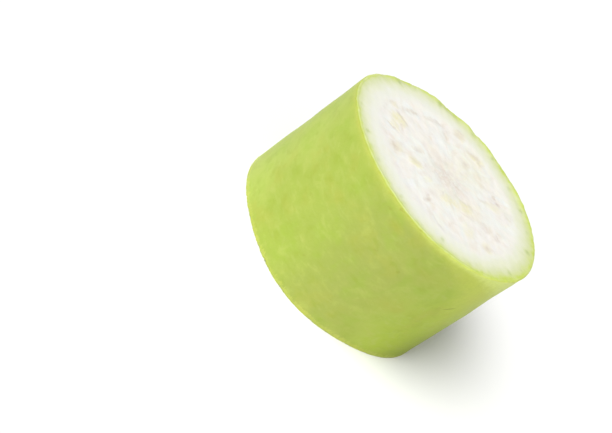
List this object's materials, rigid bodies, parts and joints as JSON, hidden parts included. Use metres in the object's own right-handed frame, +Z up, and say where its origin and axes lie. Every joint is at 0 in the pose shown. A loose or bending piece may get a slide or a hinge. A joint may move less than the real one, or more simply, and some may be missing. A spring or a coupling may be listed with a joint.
{
  "type": "bottle gourd slice",
  "caption": "Thick slice cut across a bottle gourd, green rind round pale flesh, standing on its lower cut face.",
  "frame": {"origin": "middle of the slice's footprint, on the lower cut face's plane", "axes": "+Z up the fruit's length, from the lower cut to the upper; the slice is thickest on its -Y side, where the upper cut runs highest"},
  "size_m": [0.0866, 0.085, 0.0545],
  "materials": {
    "gourd": "satin yellow-green rind, with moist off-white flesh on both cut faces"
  },
  "bodies": {
    "root": {"gourd_slice": "gourd"}
  },
  "joints": []
}
